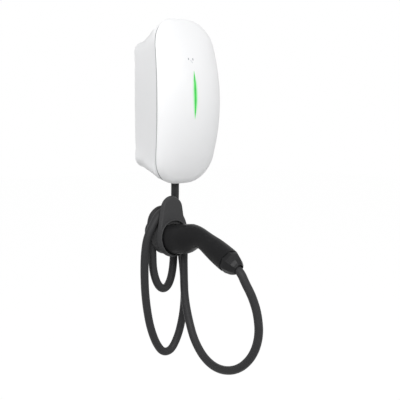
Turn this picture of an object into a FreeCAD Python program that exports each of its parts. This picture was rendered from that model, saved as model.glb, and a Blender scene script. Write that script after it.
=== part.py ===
"""Wall charger for an electric car, with its cable hung on a separate wall dock.

Millimetres. X runs to the right seen from the front, Z is up, and the wall is the plane Y = 0 with
the room on its -Y side. The origin is the centre of the charger's four wall fixings, on the wall.
Distances from the wall are called "out" and are positive towards the room.
"""
import FreeCAD, Part
import math
import os

Vec = FreeCAD.Vector

# Wall box, outside
BOX_WIDTH = 166.2
RIM_HEIGHT = 333.0
RIM_CORNER = 61.4
RIM_SIDE_BEND = 0.162
RIM_END_BEND = 0.213
BACK_SIDE_BEND = 0.02
BACK_END_BEND = 0.05
BACK_TOP = 119.8
BACK_BOTTOM = -132.2
BACK_CORNER = 12.5
COVE_POWER = 1.66
CORNER_POWER = 5.0
SEAM_OUT = 69.6
SEAM_RADIUS = 536.0
SEAM_GAP = 0.6
SEAM_MARGIN = 0.5
DOME_START = 1.2
DOME_RISE = 20.3
DOME_POWER = 1.94
DOME_BASE_OUT = 38.0
WALL = 3.0
OUTLINE_POINTS = 36

# Wall box, rim and seal
LEDGE_OUT = 41.0
LEDGE_REACH = 16.5
LEDGE_THICKNESS = 4.0
RIB_INSET = 11.8
RIB_WIDTH = 3.0
GASKET_THICKNESS = 2.0
GASKET_WIDTH = 4.0

# Wall box, back and bracket
BACK_FLOOR = 4.0
RECESS_DEPTH = 6.5
RECESS_WIDTH = 106.0
RECESS_HEIGHT = 156.0
BRACKET_PLATE = 2.0
BRACKET_MARGIN = 3.0
BRACKET_HOLE = 3.0
FIX_SPACING_X = 70.0
FIX_SPACING_Z = 110.0
HOOK_WIDTH = 14.0
HOOK_HEIGHT = 9.0
HOOK_SPACING = 44.0
HOOK_DROP = 9.0
HOOK_Z = RECESS_HEIGHT / 2 - BRACKET_MARGIN - HOOK_DROP
NUT_SPACING = 44.0
NUT_RISE = 9.0
NUT_Z = NUT_RISE + BRACKET_MARGIN - RECESS_HEIGHT / 2
NUT_RADIUS = 4.0
BRACKET_WINDOW = 38.0

# Screws
COVER_SCREW_X = 57.0
COVER_SCREW_REACH = 16.0
COVER_SCREW_TOP = 82.0
COVER_SCREW_BOTTOM = -98.0
COLUMN_RADIUS = 6.0
BOSS_RADIUS = 5.0
SCREW_CLEARANCE = 0.3
M4 = 2.0
M3 = 1.5
HEAD_RATIO = 1.9
HEAD_HEIGHT = 2.4

# Light bar and reader
LIGHT_LENGTH = 98.0
LIGHT_WIDTH = 8.2
LIGHT_CENTRE_Z = 13.0
LIGHT_CLEARANCE = 0.15
LIGHT_FLANGE = 3.0
LIGHT_FLANGE_THICKNESS = 1.6
LED_COUNT = 8
LED_HEIGHT = 1.5
LIGHT_BOARD_WIDTH = 14.0
LIGHT_BOARD_OVERHANG = 7.0
LIGHT_BOARD_GAP = 13.3
LIGHT_PLUG_DEPTH = 3.4
SMALL_BOARD = 1.6
READER_Z = 83.0
READER_WIDTH = 46.0
READER_HEIGHT = 24.0
READER_TRACK_INSET = 2.0
READER_TRACK_WIDTH = 3.0
READER_TRACK_HEIGHT = 0.4

# Frame that carries the light and reader boards
FRAME_WIDTH = 54.0
FRAME_HEIGHT = 188.0
FRAME_CORNER = 8.0
FRAME_PLATE = 2.0
FRAME_DROP = 10.5
FRAME_EAR = 3.5
FRAME_ARM_X = 22.0
FRAME_EAR_START = 17.0
FRAME_EAR_MARGIN = 2.4

# Boards
BOARD_OUT = 24.0
BOARD_THICKNESS = 1.6
BOARD_WIDTH = 100.0
BOARD_HEIGHT = 176.0
BOARD_Z = -6.0
STANDOFF_RADIUS = 3.6
STANDOFF_INSET = 7.0
STANDOFF_THREAD = 9.0
RELAY_X = 18.0
RELAY_WIDTH = 30.0
RELAY_HEIGHT = 0.205 * BOARD_HEIGHT
RELAY_DEPTH = 20.0
RELAY_Z = BOARD_Z + 0.148 * BOARD_HEIGHT
SUPPLY_X = -33.0
SUPPLY_WIDTH = 28.0
SUPPLY_HEIGHT = 0.136 * BOARD_HEIGHT
SUPPLY_DEPTH = 18.0
SUPPLY_Z = BOARD_Z + 0.347 * BOARD_HEIGHT
CAN_RADIUS = 0.026 * BOARD_HEIGHT
CAN_HEIGHT = 14.0
CAN_PITCH = 0.0625 * BOARD_HEIGHT
CAN_Z = BOARD_Z + 0.432 * BOARD_HEIGHT
RADIO_X = 30.0
RADIO_WIDTH = 18.0
RADIO_HEIGHT = 0.148 * BOARD_HEIGHT
RADIO_Z = BOARD_Z + 0.386 * BOARD_HEIGHT
SENSOR_RADIUS = 13.0
SENSOR_BORE = 8.0
SENSOR_WIDTH = 0.068 * BOARD_HEIGHT
SENSOR_Z = BOARD_Z - 0.239 * BOARD_HEIGHT
TERMINAL_HEIGHT = 0.091 * BOARD_HEIGHT
TERMINAL_DEPTH = 15.0
TERMINAL_PITCH = 9.0
SUPPLY_TERMINAL_X = -32.0
SUPPLY_TERMINAL_Z = BOARD_Z - 0.125 * BOARD_HEIGHT
CABLE_TERMINAL_X = 12.0
CABLE_TERMINAL_Z = BOARD_Z - 0.398 * BOARD_HEIGHT

# Cable and its gland
CABLE_DIAMETER = 16.5
GLAND_OUT = 26.0
GLAND_THREAD = 12.5
GLAND_HEX = 15.5
GLAND_PAD_DROP = 2.7
GLAND_WELL_FRONT = 39.8
GLAND_WELL_WALL = 2.0
GLAND_HEX_HEIGHT = 5.0
GLAND_DOME_HEIGHT = 15.0
GLAND_SPOT_CLEARANCE = 1.2
GLAND_TIP = 10.6
GLAND_NECK_LENGTH = 9.0
CABLE_SEAT_DEPTH = 1.0
BORE_CLEARANCE = 0.3
GROMMET_BORE = 8.0
GROMMET_NECK = 12.0
GROMMET_LIP = 15.0
GROMMET_X = -28.0
GROMMET_Z = 0.0

# Dock
DOCK_X = -37.0
SOCKET_OUT = 71.0
SOCKET_Z = -273.0
SOCKET_TILT = 6.0
CUP_BORE = 29.0
CUP_WALL = 2.6
CUP_DEPTH = 28.0
CUP_FLOOR = 2.6
WAIST_LENGTH = 4.0
MOUTH_BORE = 35.2
MOUTH_DEPTH = 6.0
RING_RADIUS = 36.6
SHIELD_LOW_STEP = 2.4
DRUM_RADIUS = 35.8
DRUM_START = 38.0
SHIELD_TOP_Z = -216.0
SHIELD_TOP_RADIUS = 24.4
SHIELD_FLARE = 2.8
SHIELD_BACK_OUT = 56.2
SHIELD_FRONT_OUT = 64.0
SHIELD_WALL = 2.6
SHIELD_ROUND = 2.6
DOCK_PLATE = 2.2
NECK_RADIUS = 20.0
NECK_Z = -247.6
NECK_START = 21.5
NECK_WALL = 3.0
FOOT_RADIUS = 18.0
FOOT_Z = -265.0
FLANGE_RADIUS = 23.0
FLANGE_THICKNESS = 4.0
PLATE_RADIUS = 14.5
PLATE_THICKNESS = 4.0
DOCK_FIX_SPACING = 18.0
DOCK_HOLE = 2.3
SHIELD_SCREW_X = 9.0
SHIELD_SCREW_Z = -199.0

# Plug
NOSE_CLEARANCE = 0.3
NOSE_LENGTH = 27.0
FLAT_HEIGHT = 26.9
SHELL_WALL = 3.2
HANDLE_WALL = 5.4
CARRIER_WALL = 3.8
CAVITY_OVERLAP = 13.0
CARRIER_RECESS = 3.0
CARRIER_LENGTH = 34.0
CONTACT_RADIUS = 3.9
SMALL_CONTACT_RADIUS = 2.4
CONTACT_PITCH = 16.2
HANDLE_PITCH = -25.0
NUT_LENGTH = 30.0
NUT_BASE = 22.6
NUT_SIDES = 8
NUT_MOUTH_REACH = 3.5
NUT_MOUTH_FLARE = 1.4
NUT_MOUTH_LENGTH = 10.0
SEAL_START = -3.0
SEAL_END = 13.0
CABLE_END = 8.0
CORE_BORE = 6.5

# Barrel and handle of the plug: distance out, height, lean of the cut in degrees, half size
HANDLE_STATIONS = (
    (65.33, -273.6, 6.0, 32.3),
    (78.0, -272.3, 6.0, 31.9),
    (92.0, -270.8, 6.0, 31.4),
    (107.0, -269.0, 5.0, 30.4),
    (120.0, -267.0, 0.0, 27.4),
    (133.0, -265.3, -8.0, 23.6),
    (146.0, -265.6, -17.0, 20.2),
    (160.0, -269.6, -24.0, 19.2),
    (176.0, -276.6, -25.0, 20.8),
    (194.0, -284.9, -25.0, 22.4),
    (212.0, -293.3, -25.0, 23.0),
    (223.6, -298.7, -25.0, 22.8),
)

# Route of the charging cable from the gland to the plug, as x, out and z
CABLE_ROUTE = (
    (0.0, 26.0, -152.0),
    (0.0, 26.0, -172.0),
    (3.0, 22.0, -197.0),
    (8.5, 14.5, -226.0),
    (9.5, 12.4, -258.0),
    (7.4, 12.4, -294.0),
    (5.1, 14.6, -328.9),
    (-3.3, 19.0, -358.6),
    (-15.3, 23.0, -378.2),
    (-29.7, 26.0, -385.5),
    (-44.2, 28.4, -380.1),
    (-55.7, 29.6, -363.7),
    (-63.5, 29.8, -337.4),
    (-63.5, 29.2, -307.1),
    (-64.6, 27.8, -272.0),
    (-66.6, 28.0, -236.5),
    (-49.0, 28.2, -218.9),
    (-25.1, 28.2, -218.7),
    (-7.5, 28.2, -233.5),
    (3.0, 28.6, -256.0),
    (7.6, 29.2, -280.0),
    (12.3, 30.4, -308.2),
    (17.4, 31.0, -344.7),
    (24.2, 28.0, -392.7),
    (24.9, 24.0, -436.1),
    (18.4, 21.0, -474.6),
    (8.7, 19.0, -501.5),
    (-6.2, 18.0, -522.1),
    (-28.2, 18.0, -522.3),
    (-45.8, 19.0, -501.2),
    (-58.9, 20.4, -474.3),
    (-68.8, 21.6, -444.3),
    (-79.8, 25.4, -394.4),
    (-85.6, 30.0, -344.5),
    (-88.4, 35.6, -302.8),
    (-86.3, 41.0, -269.7),
    (-73.8, 44.8, -244.8),
    (-57.5, 45.2, -222.4),
    (-33.0, 45.2, -217.2),
    (-10.5, 45.2, -226.0),
    (3.4, 45.8, -248.0),
    (7.4, 46.4, -277.0),
    (3.6, 48.6, -312.0),
    (-1.6, 54.9, -352.2),
    (-4.4, 60.0, -400.1),
    (-7.0, 76.0, -445.6),
    (-13.0, 101.0, -484.6),
    (-17.0, 138.9, -514.3),
    (-20.0, 185.2, -523.2),
    (-20.0, 233.7, -510.1),
    (-16.0, 267.7, -477.6),
    (-13.0, 281.8, -436.2),
    (-16.0, 279.8, -393.6),
    (-24.0, 273.0, -360.1),
    (-33.0, 263.9, -335.4),
    (-37.0, 254.4, -313.1),
    (-37.0, 230.9, -302.1),
)


def at(x, out, z):
    """Point from its place across, its distance from the wall and its height."""
    return Vec(x, -out, z)


def cylinder(start, end, radius):
    """Round bar between two points."""
    run = end - start
    return Part.makeCylinder(radius, run.Length, start, run)


def cone(start, end, radius_a, radius_b):
    """Tapered round bar between two points."""
    run = end - start
    return Part.makeCone(radius_a, radius_b, run.Length, start, run)


def block(x_mid, z_mid, width, height, out_a, out_b):
    """Upright block between two distances from the wall."""
    corner = at(x_mid - width / 2, out_b, z_mid - height / 2)
    return Part.makeBox(width, out_b - out_a, height, corner)


def rounded_block(x_mid, z_mid, width, height, out_a, out_b, corner):
    """Upright block with its four long edges rounded."""
    shape = block(x_mid, z_mid, width, height, out_a, out_b)
    long_edges = [e for e in shape.Edges if abs(e.tangentAt(e.FirstParameter).y) > 0.99]
    return shape.makeFillet(corner, long_edges)


def fuse(first, *others):
    """One solid from several that touch."""
    return first.fuse(list(others)).removeSplitter()


def export(name, shape):
    """Writes one sub-part and reports its size."""
    solids = shape.Solids
    shape.exportStep("parts/" + name + ".step")
    box = shape.BoundBox
    print(name, "solids", len(solids), "valid", shape.isValid(),
          "size %.1f %.1f %.1f" % (box.XLength, box.YLength, box.ZLength))


def oval(half_x, half_z, corner, side_bend, end_bend, out, z_mid=0.0):
    """Closed outline of eight tangent arcs: four flat sides joined by four corners.

    side_bend and end_bend say how curved the sides and ends are, as half length over radius.
    """
    side_r = half_z / side_bend
    end_r = half_x / end_bend
    side_c = (half_x - side_r, 0.0)
    end_c = (0.0, half_z - end_r)
    # the corner's centre lies inside both big circles by the corner's radius
    ra = side_r - corner
    rb = end_r - corner
    dx = end_c[0] - side_c[0]
    dz = end_c[1] - side_c[1]
    span = math.hypot(dx, dz)
    along = (ra * ra - rb * rb + span * span) / (2 * span)
    across = math.sqrt(max(ra * ra - along * along, 0.0))
    mid = (side_c[0] + along * dx / span, side_c[1] + along * dz / span)
    c = (mid[0] - across * dz / span, mid[1] + across * dx / span)
    if c[0] < 0 or c[1] < 0:
        c = (mid[0] + across * dz / span, mid[1] - across * dx / span)

    def outward(centre, through, radius):
        length = math.hypot(through[0] - centre[0], through[1] - centre[1])
        return (centre[0] + (through[0] - centre[0]) / length * radius,
                centre[1] + (through[1] - centre[1]) / length * radius)

    p = outward(side_c, c, side_r)
    q = outward(end_c, c, end_r)
    lean = (p[0] + q[0] - 2 * c[0], p[1] + q[1] - 2 * c[1])
    k = corner / math.hypot(*lean)
    m = (c[0] + lean[0] * k, c[1] + lean[1] * k)

    def pt(x, z):
        return at(x, out, z + z_mid)

    arcs = []
    marks = [((p[0], -p[1]), (half_x, 0.0), p), (p, m, q), (q, (0.0, half_z), (-q[0], q[1])),
             ((-q[0], q[1]), (-m[0], m[1]), (-p[0], p[1])),
             ((-p[0], p[1]), (-half_x, 0.0), (-p[0], -p[1])),
             ((-p[0], -p[1]), (-m[0], -m[1]), (-q[0], -q[1])),
             ((-q[0], -q[1]), (0.0, -half_z), (q[0], -q[1])),
             ((q[0], -q[1]), (m[0], -m[1]), (p[0], -p[1]))]
    for a, b, d in marks:
        arcs.append(Part.Arc(pt(*a), pt(*b), pt(*d)).toShape())
    return Part.Wire(arcs)


def rim_outline(inset, out):
    """The wall box's outline at its widest, drawn in by an inset."""
    return oval(BOX_WIDTH / 2 - inset, RIM_HEIGHT / 2 - inset, RIM_CORNER - inset,
                RIM_SIDE_BEND, RIM_END_BEND, out)


def rim_slab(inset, out_a, out_b):
    """Full plate with the rim's outline."""
    face = Part.Face(rim_outline(inset, out_a))
    return face.extrude(at(0, out_b - out_a, 0))


def rim_ring(inset, width, out_a, out_b):
    """Ring that follows the rim."""
    return rim_slab(inset, out_a, out_b).cut(rim_slab(inset + width, out_a - 1, out_b + 1))


def seam_bow(z):
    """How far the seam has curved back towards the wall at a height."""
    return SEAM_RADIUS - math.sqrt(SEAM_RADIUS ** 2 - z ** 2)


def seam_cutter(shift):
    """Everything on the wall side of the bowed seam, which stands furthest out at mid height."""
    start = at(-BOX_WIDTH, SEAM_OUT + shift - SEAM_RADIUS, 0)
    return Part.makeCylinder(SEAM_RADIUS, 2 * BOX_WIDTH, start, Vec(1, 0, 0))


def bowed_wire(outline, place):
    """Smooth closed wire over a flat outline, each point moved out to where place(z) says."""
    points = outline.discretize(Number=OUTLINE_POINTS + 1)[:-1]
    moved = [at(v.x, place(v.z), v.z) for v in points]
    curve = Part.BSplineCurve()
    curve.interpolate(Points=moved, PeriodicFlag=True)
    return Part.Wire(curve.toShape())


def housing_body(inset, out_a, steps=7):
    """Solid from a flat back that flares in coves to the bowed rim, and a little past it."""
    start = out_a / SEAM_OUT
    wires = []
    for i in range(steps + 1):
        step = i / steps
        share = start + (1 - start) * step
        rise = share ** COVE_POWER
        top = BACK_TOP + (RIM_HEIGHT / 2 - BACK_TOP) * rise - inset
        bottom = BACK_BOTTOM - (RIM_HEIGHT / 2 + BACK_BOTTOM) * rise + inset
        corner = BACK_CORNER + (RIM_CORNER - BACK_CORNER) * share ** CORNER_POWER - inset
        side_bend = BACK_SIDE_BEND + (RIM_SIDE_BEND - BACK_SIDE_BEND) * share
        end_bend = BACK_END_BEND + (RIM_END_BEND - BACK_END_BEND) * share
        outline = oval(BOX_WIDTH / 2 - inset, (top - bottom) / 2, corner, side_bend, end_bend, out_a,
                       (top + bottom) / 2)

        def place(z, step=step):
            return out_a + (SEAM_OUT + SEAM_MARGIN - seam_bow(z) - out_a) * step

        wires.append(bowed_wire(outline, place))
    wires.append(bowed_wire(rim_outline(inset, out_a), lambda z: SEAM_OUT + 2 * DOME_START))
    return Part.makeLoft(wires, True, True)


def dome(inset, drop, base_out, steps=9):
    """Solid pillow that follows the bowed rim, its crown lowered by a drop."""
    wires = [bowed_wire(rim_outline(inset, base_out), lambda z: base_out)]
    for i in range(steps + 1):
        h = math.sin(math.radians(87.0) * i / steps)
        shrink = (1 - h ** DOME_POWER) ** (1 / DOME_POWER)
        half_x = (BOX_WIDTH / 2 - inset) * shrink
        half_z = (RIM_HEIGHT / 2 - inset) * shrink
        full = (RIM_CORNER - inset) / (BOX_WIDTH / 2 - inset)
        corner = half_x * (full + (0.70 - full) * h)
        outline = oval(half_x, half_z, corner, RIM_SIDE_BEND + 0.42 * h * (1 - RIM_SIDE_BEND),
                       RIM_END_BEND + 0.35 * h, base_out)
        rise = DOME_START + (DOME_RISE - DOME_START - drop) * h
        bowed = 0.0 if i == steps else 1.0

        def place(z, rise=rise, bowed=bowed):
            return SEAM_OUT + rise - bowed * seam_bow(z)

        wires.append(bowed_wire(outline, place))
    return Part.makeLoft(wires, True, True)


def cover_column_places():
    """Where the four cover screws stand."""
    return [(sx * COVER_SCREW_X, z) for sx in (-1, 1) for z in (COVER_SCREW_TOP, COVER_SCREW_BOTTOM)]


def board_screw_places():
    """Where the main board is fixed."""
    dx = BOARD_WIDTH / 2 - STANDOFF_INSET
    dz = BOARD_HEIGHT / 2 - STANDOFF_INSET
    return [(sx * dx, BOARD_Z + sz * dz) for sx in (-1, 1) for sz in (-1, 1)]


def floor_out():
    """Distance from the wall of the housing's floor inside, over the bracket recess."""
    return RECESS_DEPTH + WALL


def cove_bottom(out):
    """Height of the underside of the housing at a distance from the wall."""
    share = out / (SEAM_OUT - seam_bow(BACK_BOTTOM))
    return BACK_BOTTOM - (RIM_HEIGHT / 2 + BACK_BOTTOM) * share ** COVE_POWER


def gland_face():
    """Height of the flat pad under the housing that the gland's hexagon bears on."""
    return cove_bottom(GLAND_OUT) - GLAND_PAD_DROP


def make_rear_housing():
    """Moulded rear shell with its rim ledge, recess, columns, standoffs and gland pad."""
    outer = housing_body(0.0, 0.0).common(seam_cutter(0.0))
    shell = outer.cut(housing_body(WALL, BACK_FLOOR))
    # pocket over the wall bracket, and its floor raised inside the shell
    raised = rounded_block(0, 0, RECESS_WIDTH + 2 * WALL, RECESS_HEIGHT + 2 * WALL, 0.0,
                           floor_out(), 8.0)
    recess = rounded_block(0, 0, RECESS_WIDTH, RECESS_HEIGHT, -1.0, RECESS_DEPTH, 6.0)
    ledge = rim_ring(0.5, LEDGE_REACH - 0.5, LEDGE_OUT - LEDGE_THICKNESS, LEDGE_OUT)
    parts = [raised, ledge.common(outer)]
    for x, z in cover_column_places():
        parts.append(cylinder(at(x, 0.4, z), at(x, LEDGE_OUT, z), COLUMN_RADIUS))
    for x, z in board_screw_places():
        parts.append(cylinder(at(x, BACK_FLOOR - 1, z), at(x, BOARD_OUT, z), STANDOFF_RADIUS))
    spot = GLAND_HEX + GLAND_SPOT_CLEARANCE
    pad = cylinder(at(0, GLAND_OUT, -RIM_HEIGHT), at(0, GLAND_OUT, BACK_BOTTOM + WALL + 4),
                   spot + GLAND_WELL_WALL)
    parts.append(pad.common(outer).common(block(0, 0, BOX_WIDTH, RIM_HEIGHT * 2, 0.0, LEDGE_OUT)))
    shape = fuse(shell, *parts)
    cuts = [recess]
    for x, z in cover_column_places():
        cuts.append(cylinder(at(x, -1, z), at(x, LEDGE_OUT + 1, z), M4 + SCREW_CLEARANCE))
        cuts.append(cylinder(at(x, -1, z), at(x, 5.0, z), M4 * HEAD_RATIO + SCREW_CLEARANCE))
    for x, z in board_screw_places():
        cuts.append(cylinder(at(x, BOARD_OUT - STANDOFF_THREAD, z), at(x, BOARD_OUT + 1, z), M3))
    for sx in (-1, 1):
        cuts.append(block(sx * HOOK_SPACING / 2, HOOK_Z, HOOK_WIDTH + 1.0, HOOK_HEIGHT + 6.0,
                          RECESS_DEPTH - 1, floor_out() + 1))
        x = sx * NUT_SPACING / 2
        cuts.append(cylinder(at(x, 0, NUT_Z), at(x, floor_out() + 1, NUT_Z), M4 + SCREW_CLEARANCE))
    cuts.append(cylinder(at(0, GLAND_OUT, -200), at(0, GLAND_OUT, -100), GLAND_THREAD + 0.2))
    cuts.append(cylinder(at(0, GLAND_OUT, BACK_BOTTOM + WALL), at(0, GLAND_OUT, -100), spot))
    well = cylinder(at(0, GLAND_OUT, -RIM_HEIGHT), at(0, GLAND_OUT, gland_face()), spot)
    cuts.append(well.common(block(0, 0, BOX_WIDTH, RIM_HEIGHT * 3, 0.0, GLAND_WELL_FRONT)))
    cuts.append(cylinder(at(GROMMET_X, 0, GROMMET_Z), at(GROMMET_X, 30, GROMMET_Z), GROMMET_NECK))
    return shape.cut(cuts)


def make_housing_gasket():
    """Rubber ring on the housing's ledge."""
    inset = RIB_INSET - (GASKET_WIDTH - RIB_WIDTH) / 2
    return rim_ring(inset, GASKET_WIDTH, LEDGE_OUT, LEDGE_OUT + GASKET_THICKNESS)


def light_outline(grow, out):
    """Slim lens outline made of two arcs."""
    half = LIGHT_LENGTH / 2 + grow
    wide = LIGHT_WIDTH / 2 + grow
    z = LIGHT_CENTRE_Z
    top = at(0, out, z + half)
    low = at(0, out, z - half)
    right = Part.Arc(low, at(wide, out, z), top).toShape()
    left = Part.Arc(top, at(-wide, out, z), low).toShape()
    return Part.Wire([right, left])


def light_prism(grow, out_a, out_b):
    """Upright lens-shaped prism."""
    return Part.Face(light_outline(grow, out_a)).extrude(at(0, out_b - out_a, 0))


def make_front_cover():
    """Domed front shell with its sealing rib, screw bosses and light slot."""
    outer = dome(0.0, 0.0, DOME_BASE_OUT)
    skin = outer.cut(seam_cutter(SEAM_GAP)).cut(dome(WALL, WALL, DOME_BASE_OUT - 1.0))
    rib = rim_ring(RIB_INSET, RIB_WIDTH, LEDGE_OUT + GASKET_THICKNESS, dome_front())
    posts = []
    for x, z in cover_column_places():
        posts.append(cylinder(at(x, LEDGE_OUT + 0.3, z), at(x, dome_front(), z), BOSS_RADIUS))
    shape = skin.fuse(Part.makeCompound([rib] + posts).common(outer))
    cuts = [light_prism(LIGHT_CLEARANCE, SEAM_OUT, dome_front() + 1)]
    for x, z in cover_column_places():
        cuts.append(cylinder(at(x, LEDGE_OUT - 1, z),
                             at(x, LEDGE_OUT + COVER_SCREW_REACH + 0.5, z), M4 - 0.3))
    return shape.cut(cuts)


def dome_front():
    """Distance out of the cover's crown."""
    return SEAM_OUT + DOME_RISE


def make_light_guide():
    """Clear lens that fills the slot, flush with the dome, with a flange behind the skin."""
    body = light_prism(0.0, SEAM_OUT, dome_front() + 1)
    body = body.common(dome(0.05, 0.05, DOME_BASE_OUT))
    flange = light_prism(LIGHT_FLANGE, SEAM_OUT, dome_front())
    under = WALL + 0.1
    inside = dome(under, under, DOME_BASE_OUT)
    under_flange = under + LIGHT_FLANGE_THICKNESS
    back = dome(under_flange, under_flange, DOME_BASE_OUT)
    return body.fuse(flange.common(inside)).cut(back)


def make_light_board():
    """Narrow board with a row of lamps behind the light guide."""
    back = light_board_back()
    front = back + SMALL_BOARD
    board = rounded_block(0, LIGHT_CENTRE_Z, LIGHT_BOARD_WIDTH,
                          LIGHT_LENGTH + 2 * LIGHT_BOARD_OVERHANG, back, front, 2.0)
    lamps = []
    for i in range(LED_COUNT):
        z = LIGHT_CENTRE_Z + (i - (LED_COUNT - 1) / 2) * LIGHT_LENGTH / (LED_COUNT + 1)
        lamps.append(block(0, z, 3.5, 2.8, front, front + LED_HEIGHT))
    plug = block(0, LIGHT_CENTRE_Z - LIGHT_LENGTH / 2, 9.0, 5.0, back - LIGHT_PLUG_DEPTH, back)
    return fuse(board, plug, *lamps)


def light_board_back():
    """Distance out of the back of the light board."""
    return dome_front() - WALL - LIGHT_FLANGE_THICKNESS - LIGHT_BOARD_GAP - SMALL_BOARD


def make_front_frame():
    """Moulded carrier that holds the light and reader boards off the main board's posts."""
    back = light_board_back()
    plate = rounded_block(0, 0, FRAME_WIDTH, FRAME_HEIGHT, back - FRAME_PLATE, back, FRAME_CORNER)
    window = rounded_block(0, LIGHT_CENTRE_Z - LIGHT_LENGTH / 2, 12.0, 9.0, back - FRAME_DROP, back + 1,
                           2.0)
    arms = []
    for sx in (-1, 1):
        for z in (COVER_SCREW_TOP, COVER_SCREW_BOTTOM):
            arms.append(block(sx * FRAME_ARM_X, z, 10.0, 12.0, back - FRAME_DROP, back))
            reach = COVER_SCREW_X + BOSS_RADIUS + FRAME_EAR_MARGIN
            arms.append(rounded_block(sx * (reach + FRAME_EAR_START) / 2, z, reach - FRAME_EAR_START,
                                      2 * (BOSS_RADIUS + FRAME_EAR_MARGIN) + 2.2, back - FRAME_DROP,
                                      back - FRAME_DROP + FRAME_EAR, 3.0))
    shape = fuse(plate, *arms)
    cuts = [window]
    for x, z in cover_column_places():
        cuts.append(cylinder(at(x, 0, z), at(x, 120, z), BOSS_RADIUS + 0.3))
    return shape.cut(cuts)


def make_reader_board():
    """Card reader board with its aerial loop raised as a track."""
    back = light_board_back()
    face = back + SMALL_BOARD
    board = rounded_block(0, READER_Z, READER_WIDTH, READER_HEIGHT, back, face, 3.0)
    wide = READER_WIDTH - 2 * READER_TRACK_INSET
    high = READER_HEIGHT - 2 * READER_TRACK_INSET
    loop = rounded_block(0, READER_Z, wide, high, face, face + READER_TRACK_HEIGHT, 3.0)
    inside = rounded_block(0, READER_Z, wide - 2 * READER_TRACK_WIDTH, high - 2 * READER_TRACK_WIDTH,
                           back + 1, face + 1, 2.0)
    chip = block(0, READER_Z, 7.0, 7.0, face, face + 1.2)
    return fuse(board, loop.cut(inside), chip)


def make_main_board():
    """Main circuit board with its four fixing holes."""
    face_a = BOARD_OUT
    board = rounded_block(0, BOARD_Z, BOARD_WIDTH, BOARD_HEIGHT, face_a, face_a + BOARD_THICKNESS, 4.0)
    holes = [cylinder(at(x, 0, z), at(x, 60, z), M3 + SCREW_CLEARANCE)
             for x, z in board_screw_places()]
    return board.cut(holes)


def board_face():
    """Distance out of the main board's front."""
    return BOARD_OUT + BOARD_THICKNESS


def make_relay(x_mid):
    """Power relay block with a raised lid step."""
    face = board_face()
    top = face + RELAY_DEPTH
    body = rounded_block(x_mid, RELAY_Z, RELAY_WIDTH, RELAY_HEIGHT, face, top, 1.5)
    lid = rounded_block(x_mid, RELAY_Z, RELAY_WIDTH - 3.0, RELAY_HEIGHT - 3.0, top, top + 1.0, 1.0)
    return fuse(body, lid)


def make_leakage_sensor():
    """Ring-shaped current sensor on its foot."""
    face = board_face()
    middle = face + SENSOR_RADIUS + 1.0
    low = SENSOR_Z - SENSOR_WIDTH / 2
    high = SENSOR_Z + SENSOR_WIDTH / 2
    ring = cylinder(at(0, middle, low), at(0, middle, high), SENSOR_RADIUS)
    hole = cylinder(at(0, middle, low - 1), at(0, middle, high + 1), SENSOR_BORE)
    foot = block(0, SENSOR_Z, 1.7 * SENSOR_RADIUS, SENSOR_WIDTH, face, face + 6.0)
    return fuse(ring, foot).cut(hole)


def make_terminals(x_mid, z_mid, ways):
    """Terminal block with a wire entry and a screw well for each way."""
    face = board_face()
    pitch = TERMINAL_PITCH
    top = face + TERMINAL_DEPTH
    body = block(x_mid, z_mid, ways * pitch, TERMINAL_HEIGHT, face, top)
    cuts = []
    for i in range(ways):
        x = x_mid + (i - (ways - 1) / 2) * pitch
        cuts.append(block(x, z_mid - TERMINAL_HEIGHT / 2 + 2.0, pitch - 2.4, 8.0, face + 3.0,
                          face + 8.0))
        cuts.append(cylinder(at(x, top - 5.5, z_mid), at(x, top + 1, z_mid), (pitch - 3.0) / 2))
    return body.cut(cuts)


def make_power_supply():
    """Sealed power supply block with rounded edges."""
    face = board_face()
    return rounded_block(SUPPLY_X, SUPPLY_Z, SUPPLY_WIDTH, SUPPLY_HEIGHT, face, face + SUPPLY_DEPTH, 2.0)


def make_capacitors():
    """Three round capacitors standing on the board."""
    face = board_face()
    cans = []
    for i in range(3):
        z = CAN_Z - CAN_PITCH * i
        top = face + CAN_HEIGHT
        can = cylinder(at(0, face, z), at(0, top, z), CAN_RADIUS)
        dent = cylinder(at(0, top - 0.6, z), at(0, top + 1, z), CAN_RADIUS - 1.0)
        cans.append(can.cut(dent))
    return Part.makeCompound(cans)


def make_wireless_module():
    """Radio module: board, metal can and printed aerial end."""
    face = board_face()
    board = block(RADIO_X, RADIO_Z, RADIO_WIDTH, RADIO_HEIGHT, face, face + 1.0)
    can = rounded_block(RADIO_X, RADIO_Z - 0.12 * RADIO_HEIGHT, RADIO_WIDTH - 2.0, 0.7 * RADIO_HEIGHT,
                        face + 1.0, face + 3.6, 0.8)
    return fuse(board, can)


def screw(head_out, tip_out, x, z, radius):
    """Pan-head screw whose head bears at head_out and whose shank ends at tip_out."""
    step = 1.0 if tip_out > head_out else -1.0
    head = cylinder(at(x, head_out - step * HEAD_HEIGHT, z), at(x, head_out, z), radius * HEAD_RATIO)
    shank = cylinder(at(x, head_out - step * 0.5, z), at(x, tip_out, z), radius - 0.05)
    drive = Part.makeBox(radius * 1.9, 2.4, radius * 0.5,
                         Vec(x - radius * 0.95, -(head_out - step * HEAD_HEIGHT) - 1.2, z - radius * 0.25))
    drive_2 = Part.makeBox(radius * 0.5, 2.4, radius * 1.9,
                           Vec(x - radius * 0.25, -(head_out - step * HEAD_HEIGHT) - 1.2, z - radius * 0.95))
    return head.fuse(shank).removeSplitter().cut([drive, drive_2])


def make_cover_screws():
    """Four long screws driven from the back into the cover."""
    return Part.makeCompound([screw(5.0, LEDGE_OUT + COVER_SCREW_REACH, x, z, M4 - 0.25)
                              for x, z in cover_column_places()])


def make_board_screws():
    """Four short screws that hold the main board on its posts."""
    return Part.makeCompound([screw(board_face(), BOARD_OUT - STANDOFF_THREAD + 1.0, x, z, M3)
                              for x, z in board_screw_places()])


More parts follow.
